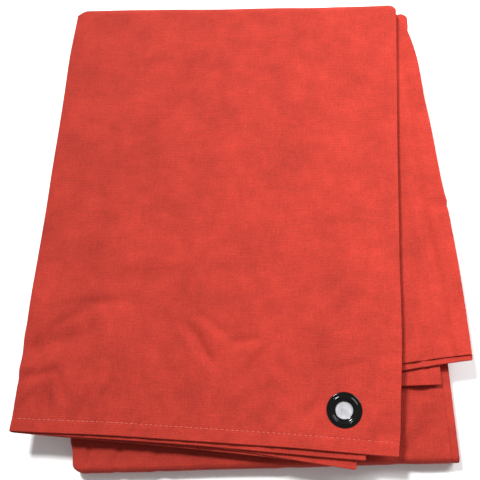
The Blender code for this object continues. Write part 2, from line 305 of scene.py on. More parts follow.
def length_shares(layer, ends=NEAR_ROWS, crumpled=110 * MM):
    """Shares of the length to sample: wide apart, then close together where the cloth is crumpled."""
    length = layer.length()
    near = [1 - d * MM / length for d in ends]
    start = 1 - crumpled / length
    smooth = np.linspace(0, start, int(start * length / STEP), endpoint=False)
    rough = np.linspace(start, near[-1], int((near[-1] - start) * length / FINE_STEP), endpoint=False)
    return np.array(list(smooth) + list(rough) + near[::-1])


def packet(layers, share):
    """Four layers as one grid: along the outer one to the left, under, and back through the inner two.

    layers are in the path's order. Rows run from the far end to the near one. It returns the grid, and
    the first and last column of each layer by its number. The outermost layers get the fine spacing.
    """
    columns = []
    spans = {}
    side = 0
    at = 0
    for k, layer in enumerate(layers):
        step = FINE_STEP if layer.number in (1, 5, 9, 16) else STEP
        grid = leg(layer, share, across_shares(layer, "left" if side == 0 else "right", step))
        columns.append(grid)
        spans[layer.number] = (at, at + grid.shape[1])
        at += grid.shape[1]
        if k < 3:
            after = layers[k + 1]
            edge = np.array([float(side)])
            here = leg(layer, share, edge)[:, 0]
            there = leg(after, share, edge)[:, 0]
            outward = np.array([-1.0 if side == 0 else 1.0, 0, 0])
            arcs = turn_over(here, there, outward)
            columns.append(np.stack(arcs, 1))
            at += len(arcs)
            side = 1 - side
    return np.concatenate(columns, 1), spans


def grid_normals(grid):
    """Unit normals of the surface at each grid point."""
    along = np.gradient(grid, axis=0)
    across = np.gradient(grid, axis=1)
    made = np.cross(along, across)
    return made / np.maximum(np.linalg.norm(made, axis=2, keepdims=True), 1e-12)


TURNED_IN = 0.6 * MM  # the turned-in cloth lies this far behind the face of a hem


def hem_rows(grid, normals, width, side, behind=TURNED_IN):
    """Rows for a turned-in edge: round the end of the cloth, and back behind it for the hem's width.

    side is -1 or 1, for which way the cloth's wrong side faces. The last row of the grid is the edge.
    """
    edge = grid[-1]
    out = grid[-1] - grid[-2]
    out = out / np.maximum(np.linalg.norm(out, axis=1, keepdims=True), 1e-12)
    back = normals[-1] * side
    gone = np.linalg.norm(grid[::-1] - edge, axis=2).mean(1)
    rows = []
    for k in range(1, 4):
        angle = math.pi * k / 4
        round_edge = out * TURNED_IN / 2 * math.sin(angle)
        rows.append(edge + round_edge + back * behind / 2 * (1 - math.cos(angle)))
    for k, distance in enumerate(gone):
        if distance > width:
            break
        rows.append(grid[-1 - k] + normals[-1 - k] * side * behind)
    return np.stack(rows)


def with_hems(grid, wrong_side, end_hem=None):
    """The grid with a side hem turned in at its first and last columns, and an end hem at its last row.

    The end hem lies behind the side hems, and the cloth's corner under it is cut away, which keeps a
    sewn corner thin. It returns the grid, the columns before the face, and the points cut away.
    """
    turn = (1, 0, 2)
    normals = grid_normals(grid)
    first = hem_rows(grid[:, ::-1].transpose(turn), normals[:, ::-1].transpose(turn), SIDE_HEM, wrong_side)
    last = hem_rows(grid.transpose(turn), normals.transpose(turn), SIDE_HEM, wrong_side)
    first, last = first[::-1].transpose(turn), last.transpose(turn)
    before, after = first.shape[1], last.shape[1]
    wide = np.concatenate([first, grid, last], 1)
    cut = np.zeros(wide.shape[:2], bool)
    if end_hem is None:
        return wide, before, cut
    steps = np.linalg.norm(np.diff(grid[-1], axis=0), axis=1)
    gone = np.concatenate([[0], np.cumsum(steps)])
    from_side = np.minimum(gone, gone[-1] - gone)
    behind = TURNED_IN * (2 - smoothstep((from_side - SIDE_HEM) / (2 * MM)))[:, None]
    end = hem_rows(grid, normals, end_hem, wrong_side, behind)
    aside = np.array([0.4 * MM, 0, 0])
    left = end[:, :1] - aside * np.arange(before, 0, -1)[:, None]
    right = end[:, -1:] + aside * np.arange(1, after + 1)[:, None]
    gone_rows = np.zeros((len(end), wide.shape[1]), bool)
    gone_rows[:, :before] = True
    gone_rows[:, -after:] = True
    end = np.concatenate([left, end, right], 1)
    return np.concatenate([wide, end], 0), before, np.concatenate([cut, gone_rows], 0)


def cut_places(grid):
    """Where each grid point lies on the flat cloth, in metres."""
    down = np.linalg.norm(np.diff(grid, axis=0), axis=2).mean(1)
    across = np.linalg.norm(np.diff(grid, axis=1), axis=2).mean(0)
    v = np.concatenate([[0], np.cumsum(down)])
    u = np.concatenate([[0], np.cumsum(across)])
    return np.stack(np.meshgrid(u, v), 2)


def cloth_piece(name, grid, holes=(), cut=None):
    """A closed piece of cloth with the grid as its middle surface.

    holes are (columns, centre, radius), and cut marks the grid points that are cut away.
    """
    rows, columns = grid.shape[:2]
    normals = grid_normals(grid)
    index = np.arange(rows * columns).reshape(rows, columns)
    quads = np.stack([index[:-1, :-1], index[:-1, 1:], index[1:, 1:], index[1:, :-1]], 2).reshape(-1, 4)
    flat = grid.reshape(-1, 3)
    keep = np.ones(len(quads), bool)
    for (first, last), centre, radius in holes:
        middle = flat[quads].mean(1)
        column = quads.min(1) % columns
        near = np.linalg.norm(middle[:, :2] - np.array(centre)[:2], axis=1) < radius
        keep &= ~(near & (column >= first) & (column < last))
    if cut is not None:
        keep &= ~cut.reshape(-1)[quads].any(1)
    used, quads = np.unique(quads[keep], return_inverse=True)
    quads = quads.reshape(-1, 4)
    half = (normals.reshape(-1, 3) * CANVAS / 2)[used]
    flat = flat[used]
    count = len(flat)
    # The rim is every edge that only one quad has. Round a hole it is drawn out to a true circle.
    edges = np.concatenate([quads[:, [k, (k + 1) % 4]] for k in range(4)])
    keys = np.sort(edges, 1)
    _, back, times = np.unique(keys, axis=0, return_inverse=True, return_counts=True)
    rim = edges[times[back.reshape(-1)] == 1]
    rim_points = np.unique(rim)
    for (first, last), centre, radius in holes:
        column = used[rim_points] % columns
        away = flat[rim_points, :2] - np.array(centre)[:2]
        gone = np.linalg.norm(away, axis=1)
        ours = (column >= first) & (column < last) & (gone < radius + 4 * MM)
        flat[rim_points[ours], :2] = np.array(centre)[:2] + away[ours] / gone[ours, None] * radius
    points = np.concatenate([flat + half, flat - half])
    faces = [list(q) for q in quads]
    faces += [[q[3] + count, q[2] + count, q[1] + count, q[0] + count] for q in quads]
    faces += [[b, a, a + count, b + count] for a, b in rim]
    mesh = bpy.data.meshes.new(name)
    mesh.from_pydata(points.tolist(), [], [[int(v) for v in f] for f in faces])
    places = cut_places(grid).reshape(-1, 2)[used]
    places = np.concatenate([places, places])
    layer = mesh.uv_layers.new(name="cut")
    corners = np.zeros(len(mesh.loops), np.int32)
    mesh.loops.foreach_get("vertex_index", corners)
    layer.data.foreach_set("uv", places[corners].astype(np.float32).ravel())
    mesh.materials.append(CANVAS_RED)
    mesh.shade_smooth()
    mesh.validate()
    mesh.set_sharp_from_angle(angle=math.radians(60))  # the cut edges stay crisp
    made = bpy.data.objects.new(name, mesh)
    bpy.context.scene.collection.objects.link(made)
    # Winding: the front of the faces has to point out of the cloth.
    first = mesh.polygons[0]
    towards = points[first.vertices[0]] - points[first.vertices[0] + count]
    if first.normal.dot(Vector(towards)) < 0:
        mesh.flip_normals()
    return made


# How the layers lie. Past the hem end of layers 5 to 8 the top four have nothing under them and sag,
# and the cover rides up over the eyelet under it.
SAG_SLOPE = math.tan(math.radians(2.2))
SAG_ROUND = 9 * MM  # the cloth bends over this length, not at a line
COVER_LIFT = 1.0 * MM


def sag_distance(x, y):
    """How far a place lies past the hem end of the middle layers."""
    left, right = middle_end
    way = right - left
    way = way / np.linalg.norm(way)
    past = -(y - left[1]) * way[0] + (x - left[0]) * way[1]
    return past - 3 * MM


def sag(number, x, y):
    """How far the cloth of the top four layers lies above or below its place, in metres."""
    if number > 4:
        return np.zeros_like(x)
    past = sag_distance(x, y)
    drop = SAG_ROUND * np.logaddexp(0, past / SAG_ROUND) * SAG_SLOPE
    lift = COVER_LIFT * smoothstep((past + 220 * MM) / (200 * MM)) if number == 1 else 0
    return lift - drop


# Tucks: soft valleys left by handling. Each is (x, y, heading in degrees, length, width, depth), in mm,
# and is listed under the top layer of its stack.
TUCK_DEPTH = 1.9  # all of them are pressed this many times deeper than listed
TUCKS = {
    1: [(-150, -153, 99, 34, 8, 0.9), (-154, -172, 120, 16, 4, 0.6), (-148, -112, 25, 64, 15, 1.0),
        (-160, -139, 20, 34, 9, 0.9), (-74, -174, 70, 16, 5, 0.6), (-96, -150, 96, 46, 14, 0.8),
        (-30, -109, 132, 46, 9, 1.0), (14, -122, 62, 44, 10, 0.8), (-78, -53, 6, 60, 12, 0.7),
        (20, -172, 100, 18, 6, 0.4), (112, -160, 84, 22, 4, 0.5), (103, -171, 100, 12, 3, 0.4),
        (-20, -30, 110, 120, 26, 0.5), (-100, 40, 84, 130, 18, 0.8), (-126, -30, 86, 150, 16, 0.8),
        (45, 90, 95, 130, 26, 0.5), (66, -40, 100, 90, 22, 0.5), (-60, 120, 75, 90, 22, 0.6),
        (-166, -158, 60, 18, 5, 0.7), (-141, -146, 118, 30, 7, 0.8), (-118, -160, 74, 34, 8, 0.8),
        (-100, -172, 100, 18, 5, 0.6), (-52, -140, 112, 36, 9, 0.7), (-44, -172, 84, 14, 5, 0.5),
        (-10, -146, 80, 40, 9, 0.6), (42, -138, 118, 40, 10, 0.6), (-20, -93, 150, 34, 8, 0.7),
        (6, -104, 20, 30, 7, 0.7), (62, -150, 70, 24, 7, 0.5), (-118, -78, 10, 50, 10, 0.7),
        (-140, -92, 40, 46, 9, 0.8), (-162, -100, 85, 50, 7, 0.6), (34, -168, 60, 16, 5, 0.4),
        (-27, -112, 128, 30, 3.5, 0.45), (-17, -118, 66, 22, 3.5, 0.45), (-152, -160, 104, 26, 3.5, 0.5),
        (-136, -172, 78, 16, 3, 0.35), (-158, -128, 50, 30, 4, 0.5), (-80, -61, 170, 40, 5, 0.4),
        (12, -128, 96, 22, 3.5, 0.4), (-104, -150, 70, 26, 4, 0.4), (86, -120, 20, 30, 6, 0.3)],
    5: [(158, 18, 12, 20, 4, 1.1), (149, -10, 98, 80, 8, 0.9), (159, -60, 99, 110, 7, 0.9),
        (138, 80, 97, 150, 9, 0.6), (142, -112, 60, 14, 5, 0.6), (147, -110, 99, 50, 8, 0.7)],
    9: [(-92, -196, 84, 24, 6, 0.9), (-116, -198, 100, 16, 5, 1.0), (-60, -196, 100, 22, 9, 0.6),
        (143, -146, 100, 50, 14, 0.7), (135, -175, 50, 34, 12, 0.9), (40, -196, 80, 20, 10, 0.5)],
}


def relief(number, x, y):
    """Dents and wrinkles in the cloth, in metres. Layers on each other share them, so none cuts another."""
    depth = (17 - number) / 16
    total = (soft_noise(x, y, 95 * MM, 1) * 1.0 + soft_noise(x, y, 38 * MM, 2) * 0.5) * depth
    if number <= 4:
        near = np.exp(-np.clip(62 * MM - sag_distance(x, y), 0, None) / (30 * MM))
        total = total + soft_noise(x, y, 17 * MM, 3) * 0.5 * near
    top = 1 if number <= 4 else 5 if number <= 8 else 9
    # A tuck fades down through the layers under it.
    share = max(0.0, 1 - 0.22 * (number - top))
    for x0, y0, heading, length, width, drop in TUCKS[top]:
        turn = math.radians(heading)
        gone = (x / MM - x0) * math.cos(turn) + (y / MM - y0) * math.sin(turn)
        aside = (y / MM - y0) * math.cos(turn) - (x / MM - x0) * math.sin(turn)
        bent = aside + 0.12 * width * np.sin(gone / length * 5)
        valley = np.exp(-((bent / width * 2) ** 2)) - 0.45 * np.exp(-((bent / width * 2 - 1.6) ** 2))
        total = total - TUCK_DEPTH * share * drop * valley * np.exp(-((gone / length * 2) ** 4))
    return total * MM


EYELETS = {1: 1, 2: 2, 7: 3, 8: 4}  # layer and the number of its eyelet


def eyelet_frame(index):
    """Centre and upward axis of one of the fixed model's eyelets."""
    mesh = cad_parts[f"eyelet_{index}"].data
    points = np.array([vertex.co for vertex in mesh.vertices])
    centre = (points.min(0) + points.max(0)) / 2
    _, _, axes = np.linalg.svd(points - points.mean(0))
    return centre, axes[2] * np.sign(axes[2][2])


def hem_relief(number, x, y, from_end, from_side):
    """The pull of the sewing: a groove along each row of stitches, and puckers in the hem."""
    total = np.zeros_like(x)
    rows = [(from_side, SIDE_HEM, y)] if number in (1, 2, 7, 8, 9, 10, 15, 16) else []
    if number <= 8:
        rows.append((from_end, END_HEM if number <= 4 else MIDDLE_END_HEM, x))
    for distance, hem, along in rows:
        line = hem - 0.6 * MM
        groove = np.exp(-(((distance - line) / (0.9 * MM)) ** 2))
        band = 1 - smoothstep((distance - hem) / (9 * MM))
        pucker = soft_noise(along, distance * 0.25, 6.5 * MM, 11 + number)
        total = total - 0.22 * groove + 0.26 * band * pucker
        total = total + 0.12 * (1 - smoothstep((distance - hem) / (1.5 * MM)))
    # It is strongest where the middle layers' end shows, and weak where the stack presses it flat.
    total = total * (1.7 if number == 5 else 1.2 if number <= 10 else 0.2)
    if number in EYELETS:
        # The flange presses a dish into the cloth, and the cloth ripples round it.
        centre, _ = eyelet_frame(EYELETS[number])
        away = np.hypot(x - centre[0], y - centre[1]) / MM
        turn = np.arctan2(y - centre[1], x - centre[0])
        total = total - 0.28 * np.exp(-(((away - 13) / 5) ** 2))
        total = total + 0.10 * np.sin(turn * 7 + 1) * np.exp(-(((away - 18) / 5) ** 2))
    return total * MM


panel_5 = Layer(5, 0, 0)
middle_end = (panel_5.near_left, panel_5.near_right)

# Where each edge wanders from its straight line: (share of the way, mm outwards) from far to near, and
# for an end, (share of the way to the right, mm outwards). A fold takes room, so it is drawn in by it.
OUTER_IN, INNER_IN = 2.4 * MM, 2.7 * MM
LOWER_LEFT = [
    (0, 0), (0.5, 1.0), (0.84, 8.0), (0.9, 8.4), (0.925, 7.0), (0.95, 8.3), (0.975, 6.2), (1, 6.0),
]
LOWER_END = [(0, 1.5), (0.3, 2.0), (0.7, 2.6), (1, 3.4)]
MIDDLE_RIGHT = [
    (0, -3.2), (0.035, 1.6), (0.13, 3.6), (0.3, 0.8), (0.5, -0.4), (0.62, 0.8), (0.8, 1.6), (1, 1.2),
]
MIDDLE_CORNER = [(0, 3.0), (0.03, 2.8), (0.08, 0), (1, 0)]

layers = {
    1: Layer(1, 0.7 * MM, -1.4 * MM,
             left_wave=[(0, 1.2), (0.12, 2.2), (0.3, 1.6), (0.6, 0.8), (0.8, 0.2), (0.97, -0.6), (1, 0.3)],
             right_wave=[(0, 0.0), (0.3, 0.0), (0.57, 0.6), (0.78, 1.8), (0.95, 0.6), (1, -0.8)],
             end_wave=[(0, 0), (0.3, -1.6), (0.7, -1.5), (1, 0)]),
    2: Layer(2, OUTER_IN + INNER_IN, 0.3 * MM, end_wave=[(0, 0), (0.5, -1.2), (1, 0)]),
    3: Layer(3, OUTER_IN + INNER_IN, 0.8 * MM, end_wave=[(0, 0), (0.5, -1.0), (1, 0)]),
    4: Layer(4, 0.7 * MM, 0.8 * MM, end_wave=[(0, 0), (0.5, -1.0), (1, 0)]),
    5: Layer(5, OUTER_IN, -0.9 * MM,
             right_wave=MIDDLE_RIGHT, end_wave=[(0, 0), (0.7, 0.2), (1, -2.3)]),
    6: Layer(6, OUTER_IN + INNER_IN, -0.9 * MM,
             right_wave=MIDDLE_RIGHT, end_wave=[(0, 0), (0.7, 0), (1, -2.6)]),
    7: Layer(7, OUTER_IN + INNER_IN, 0.3 * MM, right_wave=MIDDLE_CORNER),
    8: Layer(8, OUTER_IN, 0.3 * MM, right_wave=MIDDLE_CORNER),
}
for number in range(9, 17):
    inner = number in (10, 11, 14, 15)
    # The outermost strip of the lower half lies 7 mm inside the one under it on the right.
    right_in = 4.0 * MM if number in (9, 16) else -2.4 * MM if number in (11, 12, 13, 14) else -3.2 * MM
    layers[number] = Layer(
        number, OUTER_IN + (INNER_IN if inner else 0), right_in, left_wave=LOWER_LEFT, end_wave=LOWER_END
    )


# ------------------------------------------------------------------------------------------------
# Lower half, layers 9 to 16: the half of the sheet that lies on the ground. Its four-ply strip is
# folded under itself at the near end, where the canvas is soft and has rounded, crumpled corners.
# ------------------------------------------------------------------------------------------------
LOWER_CORNER = 9 * MM
LOWER_NEAR_ROWS = [0, 1.5, 3.2, 5.2, 7.6, 10.4, 13.4]


def rounded_corner(grid, corner, along, inwards, radius):
    """Rounds off one corner of the outline. along and inwards are unit steps from it into the cloth."""
    flat = grid[..., :2] - corner
    a = flat @ along
    b = flat @ inwards
    inside = (a < radius) & (b < radius)
    qa = np.clip((radius - a) / radius, -0.2, 1.25)
    qb = np.clip((radius - b) / radius, -0.2, 1.25)
    na = qa * np.sqrt(np.clip(1 - qb * qb / 2, 0.2, 1))
    nb = qb * np.sqrt(np.clip(1 - qa * qa / 2, 0.2, 1))
    move_a = np.where(inside, (qa - na) * radius, 0)
    move_b = np.where(inside, (qb - nb) * radius, 0)
    moved = grid.copy()
    moved[..., :2] += move_a[..., None] * along + move_b[..., None] * inwards
    return moved


share = length_shares(layers[9], LOWER_NEAR_ROWS, 60 * MM)
upper_grid, _ = packet([layers[n] for n in (9, 12, 11, 10)], share)
under_share = length_shares(layers[9], LOWER_NEAR_ROWS, 16 * MM)
under_grid, _ = packet([layers[n] for n in (16, 13, 14, 15)], under_share)
near_line = layers[9].near_right - layers[9].near_left
near_along = near_line / np.linalg.norm(near_line)
near_out = np.array([near_along[1], -near_along[0], 0])
bend = turn_over(upper_grid[-1], under_grid[-1], near_out, steps=11)
lower_grid = np.concatenate([upper_grid, np.stack(bend), under_grid[::-1]], 0)
# The corner that is rounded off lies past the layer's own, because the fold and its wave stand out.
corner = layers[9].near_left + near_out[:2] * 7.0 * MM - near_along * 5.0 * MM
lower_grid = rounded_corner(lower_grid, corner, near_along, -near_out[:2], LOWER_CORNER)
lower_grid, _, _ = with_hems(lower_grid, 1)
lower_cloth = cloth_piece("lower_cloth", lower_grid)
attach(lower_cloth, "lower_half")
lower_nodes = [f"panel_{n:02d}" for n in range(9, 17)]
lower_nodes += ["left_fold_09_12", "left_fold_10_11", "right_fold_11_12"]
lower_nodes += ["left_fold_13_16", "left_fold_14_15", "right_fold_13_14"]
lower_nodes += [f"near_fold_{n:02d}_{25 - n:02d}" for n in range(9, 13)]
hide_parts(*lower_nodes)

# ------------------------------------------------------------------------------------------------
# Middle layers, 5 to 8: the other end of the sheet's lower strip, which stops short of the cover's
# hem. Its right crease swings out from under the cover, and its sewn ends show below it.
# ------------------------------------------------------------------------------------------------
CLOTH_HOLE = 11.0 * MM  # hidden under the flange, which is wider

share = length_shares(layers[5])
middle_grid, spans = packet([layers[n] for n in (8, 5, 6, 7)], share)
middle_grid, before, cut = with_hems(middle_grid, -1, MIDDLE_END_HEM)
holes = []
for index, number in ((3, 7), (4, 8)):
    first, last = spans[number]
    holes.append(((first + before, last + before), eyelet_frame(index)[0], CLOTH_HOLE))
middle_cloth = cloth_piece("middle_cloth", middle_grid, holes, cut)
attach(middle_cloth, "upper_half")
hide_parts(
    "panel_05", "panel_06", "panel_07", "panel_08",
    "left_fold_05_08", "left_fold_06_07", "right_fold_05_06",
)

# ------------------------------------------------------------------------------------------------
# Cover, layers 1 to 4: the top of the folded blanket. The outermost layer is one plain face of
# canvas, with the sheet's end hem at the bottom and a side hem down its right edge.
# ------------------------------------------------------------------------------------------------
share = length_shares(layers[1])
cover_grid, spans = packet([layers[n] for n in (1, 4, 3, 2)], share)
cover_grid, before, cut = with_hems(cover_grid, 1, END_HEM)
holes = []
for index, number in ((1, 1), (2, 2)):
    first, last = spans[number]
    holes.append(((first + before, last + before), eyelet_frame(index)[0], CLOTH_HOLE))
cover_cloth = cloth_piece("cover_cloth", cover_grid, holes, cut)
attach(cover_cloth, "upper_half")
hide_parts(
    "panel_01", "panel_02", "panel_03", "panel_04",
    "left_fold_01_04", "left_fold_02_03", "right_fold_03_04",
)

# ------------------------------------------------------------------------------------------------
# Far end folds: eight nested loops of the same canvas, where the upper half turns back over the
# lower one.
# ------------------------------------------------------------------------------------------------
FAR_CORNER = 6 * MM
CORNER_POKE = 3.4  # mm that the hemmed corner of the two innermost strips is pushed out past the rest
CORNER_LEAST = 0.25  # at its very corner a loop still reaches this share of its way out

for number in range(1, 9):
    top, bottom = layers[number], layers[17 - number]
    shares = across_shares(top, "right", FINE_STEP if number in (1, 5) else STEP)
    poke = 0
    if number > 6:
        poke = CORNER_POKE * smoothstep((shares - 1 + 9 * MM / top.width) / (4 * MM / top.width))
    rows = turn_over(
        leg(top, np.array([0.0]), shares)[0], leg(bottom, np.array([0.0]), shares)[0],
        np.array([0, 1.0, 0]), steps=13 if number < 5 else 7, end_points=True,
        further=(np.zeros_like(shares) + poke)[:, None] * MM,
    )
    grid = np.stack(rows)
    from_corner = np.minimum(shares, 1 - shares) * top.width
    radius = np.where((shares > 0.5) & (number in (5, 6)), 2.5 * FAR_CORNER, FAR_CORNER)
    rounding = 1 - np.clip(1 - from_corner / radius, 0, 1) ** 2
    edge_y = (grid[0, :, 1] + grid[-1, :, 1]) / 2
    grid[..., 1] = edge_y + (grid[..., 1] - edge_y) * (CORNER_LEAST + (1 - CORNER_LEAST) * np.sqrt(rounding))
    made = cloth_piece(f"far_bend_{number:02d}_{17 - number:02d}", grid)
    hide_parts(f"far_fold_{number:02d}_{17 - number:02d}")
    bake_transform(made)

# ------------------------------------------------------------------------------------------------
# Stitches. Each hem is held by a lock stitch of spun polyester thread, a shade lighter than the
# canvas. A stitch shows about 3.3 mm of thread on the face, then it dives through the cloth.
# ------------------------------------------------------------------------------------------------
STITCH_PITCH = 4.0 * MM
STITCH_SHOWS = 3.3 * MM
THREAD = 0.52 * MM
SEWN_FROM_EDGE = 0.6 * MM  # the stitches run this far inside the turned-in edge


PLIES_APART = 0.5 * MM  # along the thread, from one twist of its plies to the next


def thread_material(name, dark, light):
    """Spun polyester thread: slightly glossy twisted plies, which show as slanted lines."""
    made, tree = blank_material(name)
    place = node(tree, "ShaderNodeTexCoord").outputs["Object"]
    plies = node(
        tree, "ShaderNodeTexWave", {"bands_direction": "DIAGONAL"}, Vector=place,
        Scale=WAVE_BAND / PLIES_APART, Distortion=0.5,
    )
    dye = node(tree, "ShaderNodeValToRGB", Fac=plies.outputs["Fac"])
    dye.color_ramp.elements[0].color = linear(dark)
    dye.color_ramp.elements[1].color = linear(light)
    bump = node(tree, "ShaderNodeBump", Strength=0.4, Distance=0.05 * MM, Height=plies.outputs["Fac"])
    shader = node(
        tree, "ShaderNodeBsdfPrincipled", Base_Color=dye.outputs["Color"], Roughness=0.75, IOR=1.5,
        Specular_IOR_Level=0.25, Normal=bump.outputs["Normal"],
    )
    node(tree, "ShaderNodeOutputMaterial", Surface=shader.outputs["BSDF"])
    return made


def stitches_along(line, face, seed, sinking=0.0):
    """Short lengths of thread along a line of points on the cloth. face is the way out of the cloth.

    sinking is how much deeper the stitches lie by the end of the line.
    """
    gone = np.concatenate([[0], np.cumsum(np.linalg.norm(np.diff(line, axis=0), axis=1))])
    draw = np.random.default_rng(seed)
    points, faces = [], []
    start = 2 * MM
    while start + STITCH_SHOWS < gone[-1] - MM:
        slack = draw.uniform(-0.35, 0.35, 2) * MM
        at = np.linspace(start + slack[0], start + STITCH_SHOWS + slack[1], 5)
        middle = np.stack([np.interp(at, gone, line[:, k]) for k in range(3)], 1)
        along = middle[-1] - middle[0]
        along = along / np.linalg.norm(along)
        across = np.cross(face, along)
        lifts = np.array([-0.32, 0.16, 0.24, 0.16, -0.32]) * MM - sinking * start / gone[-1]
        for k, centre in enumerate(middle):
            base = len(points)
            for corner in range(6):
                turn = math.pi * corner / 3
                out = across * math.cos(turn) * THREAD / 2 + face * (math.sin(turn) * THREAD / 2 * 0.8)
                points.append(centre + face * lifts[k] + out)
            if k:
                for corner in range(6):
                    after = (corner + 1) % 6
                    faces.append((base - 6 + corner, base - 6 + after, base + after, base + corner))
        faces.append(tuple(range(len(points) - 6, len(points))))
        faces.append(tuple(range(len(points) - 25, len(points) - 31, -1)))
        start += STITCH_PITCH
    return points, faces


THREADS = [
    thread_material("faded_polyester_thread", "#A8443A", "#CF776C"),
    thread_material("red_polyester_thread", "#94291F", "#A93A2F"),
]


def stitch_piece(name, body, ends, sides):
    """All the stitches of one half. ends and sides are (layer, 1 for its top face or -1 for its back)."""
    points, faces, plain = [], [], []
    jobs = [(number, face, True) for number, face in ends]
    jobs += [(number, face, False) for number, face in sides]
    for number, face, is_end in jobs:
        layer = layers[number]
        if is_end:
            hem = END_HEM if number <= 4 else MIDDLE_END_HEM
            share = np.array([1 - (hem - SEWN_FROM_EDGE) / layer.length()])
            line = leg(layer, share, np.linspace(0.003, 0.997, 110))[0]
        else:
            across = np.array([1 - (SIDE_HEM - SEWN_FROM_EDGE) / layer.width])
            line = leg(layer, np.linspace(0.002, 0.998, 130), across)[:, 0]
        # The long side seams are sewn tighter, so their thread is drawn down into the cloth.
        line = line + np.array([0, 0, face * (CANVAS / 2 - (0 if is_end and number < 5 else 0.30 * MM))])
        new_points, new_faces = stitches_along(
            line, np.array([0, 0, float(face)]), number * 3 + is_end, 0.3 * MM if is_end else 0
        )
        plain += [0 if is_end and number < 5 else 1] * len(new_faces)
        faces += [tuple(v + len(points) for v in f) for f in new_faces]
        points += new_points
    mesh = bpy.data.meshes.new(name)
    mesh.from_pydata([tuple(map(float, p)) for p in points], [], faces)
    for thread in THREADS:
        mesh.materials.append(thread)
    mesh.polygons.foreach_set("material_index", plain)
    mesh.shade_smooth()
    made = bpy.data.objects.new(name, mesh)
    bpy.context.scene.collection.objects.link(made)
    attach(made, body)
    return made


upper_stitches = stitch_piece(
    "hem_stitches_upper", "upper_half",
    ends=[(1, 1), (2, 1), (3, 1), (5, 1), (7, 1)], sides=[(1, 1), (7, 1)],
)
lower_stitches = stitch_piece("hem_stitches_lower", "lower_half", ends=[], sides=[(9, 1), (10, 1)])

# ------------------------------------------------------------------------------------------------
# Eyelets. Each is two pressed brass rings enamelled black: the eyelet, whose barrel goes through the
# canvas, and the washer under it, over which the barrel's end is rolled.
# ------------------------------------------------------------------------------------------------
ROUND = 96  # points round a ring
# The section of each ring, as (radius, height above the cloth) in mm, once round.
EYELET = [
    (13.0, 0.28), (13.35, 0.34), (13.45, 0.50), (13.35, 0.74), (12.9, 0.93), (12.2, 0.98), (11.5, 0.94),
    (11.0, 0.97), (10.65, 1.13), (10.3, 1.24), (9.95, 1.12), (9.7, 0.82), (9.5, 0.42), (9.25, 0.05),
    (8.8, -0.30), (8.1, -0.55), (7.3, -0.70), (6.8, -0.88), (6.62, -1.1), (6.75, -1.32), (7.4, -1.42),
    (8.8, -1.38), (9.7, -1.26), (9.85, -1.12), (9.5, -1.04), (8.4, -1.05), (7.6, -1.02), (7.6, -0.94),
    (8.4, -0.80), (9.1, -0.56), (9.55, -0.15), (9.8, 0.15), (10.2, 0.30), (11.4, 0.32),
]
WASHER = [
    (12.6, -0.34), (12.2, -0.30), (11.0, -0.32), (10.2, -0.36), (10.0, -0.50), (10.05, -0.85),
    (10.3, -0.95), (10.9, -0.88), (11.6, -0.76), (12.3, -0.68), (12.62, -0.50),
]


def enamel_material():
    """Stoved black enamel: deep gloss that runs smooth over the pressed edges, with a little dust on it."""
    made, tree = blank_material("stoved_black_enamel")
    place = node(tree, "ShaderNodeTexCoord").outputs["Object"]
    marks = node(tree, "ShaderNodeTexNoise", Vector=place, Scale=900.0, Detail=4.0, Roughness=0.6)
    dust = node(tree, "ShaderNodeTexNoise", Vector=place, Scale=3200.0, Detail=2.0)
    rough = node(
        tree, "ShaderNodeMapRange", Value=marks.outputs["Fac"], From_Min=0.35, From_Max=0.7,
        To_Min=0.07, To_Max=0.16,
    )
    colour = node(tree, "ShaderNodeValToRGB", Fac=dust.outputs["Fac"])
    colour.color_ramp.elements[0].position = 0.55
    colour.color_ramp.elements[0].color = linear("#060607")
    colour.color_ramp.elements[1].position = 0.8
    colour.color_ramp.elements[1].color = linear("#161618")
    bump = node(tree, "ShaderNodeBump", Strength=0.08, Distance=0.03 * MM, Height=marks.outputs["Fac"])
    shader = node(
        tree, "ShaderNodeBsdfPrincipled", Base_Color=colour.outputs["Color"],
        Roughness=rough.outputs["Result"], IOR=1.5, Specular_IOR_Level=0.28, Normal=bump.outputs["Normal"],
    )
    node(tree, "ShaderNodeOutputMaterial", Surface=shader.outputs["BSDF"])
    return made


def rounded_profile(knots, between=4):
    """A closed smooth curve through the knots."""
    knots = np.array(knots, float)
    made = []
    for k in range(len(knots)):
        a, b, c, d = (knots[(k + n) % len(knots)] for n in (-1, 0, 1, 2))
        for t in np.linspace(0, 1, between, endpoint=False):
            made.append(0.5 * (2 * b + (c - a) * t + (2 * a - 5 * b + 4 * c - d) * t**2
                               + (3 * b - a - 3 * c + d) * t**3))
    return np.array(made)


def cloth_height(layer, centre):
    """Height of the cloth just outside the eyelet, where its flange sits."""
    turns = (0.8, 2.4, 3.9, 5.5)
    ring = [(centre[0] + 13 * MM * math.cos(a), centre[1] + 13 * MM * math.sin(a)) for a in turns]
    x, y = np.array(ring).T
    z = layer.height + sag(layer.number, x, y) + relief(layer.number, x, y) - 0.28 * MM
    return float(z.mean())


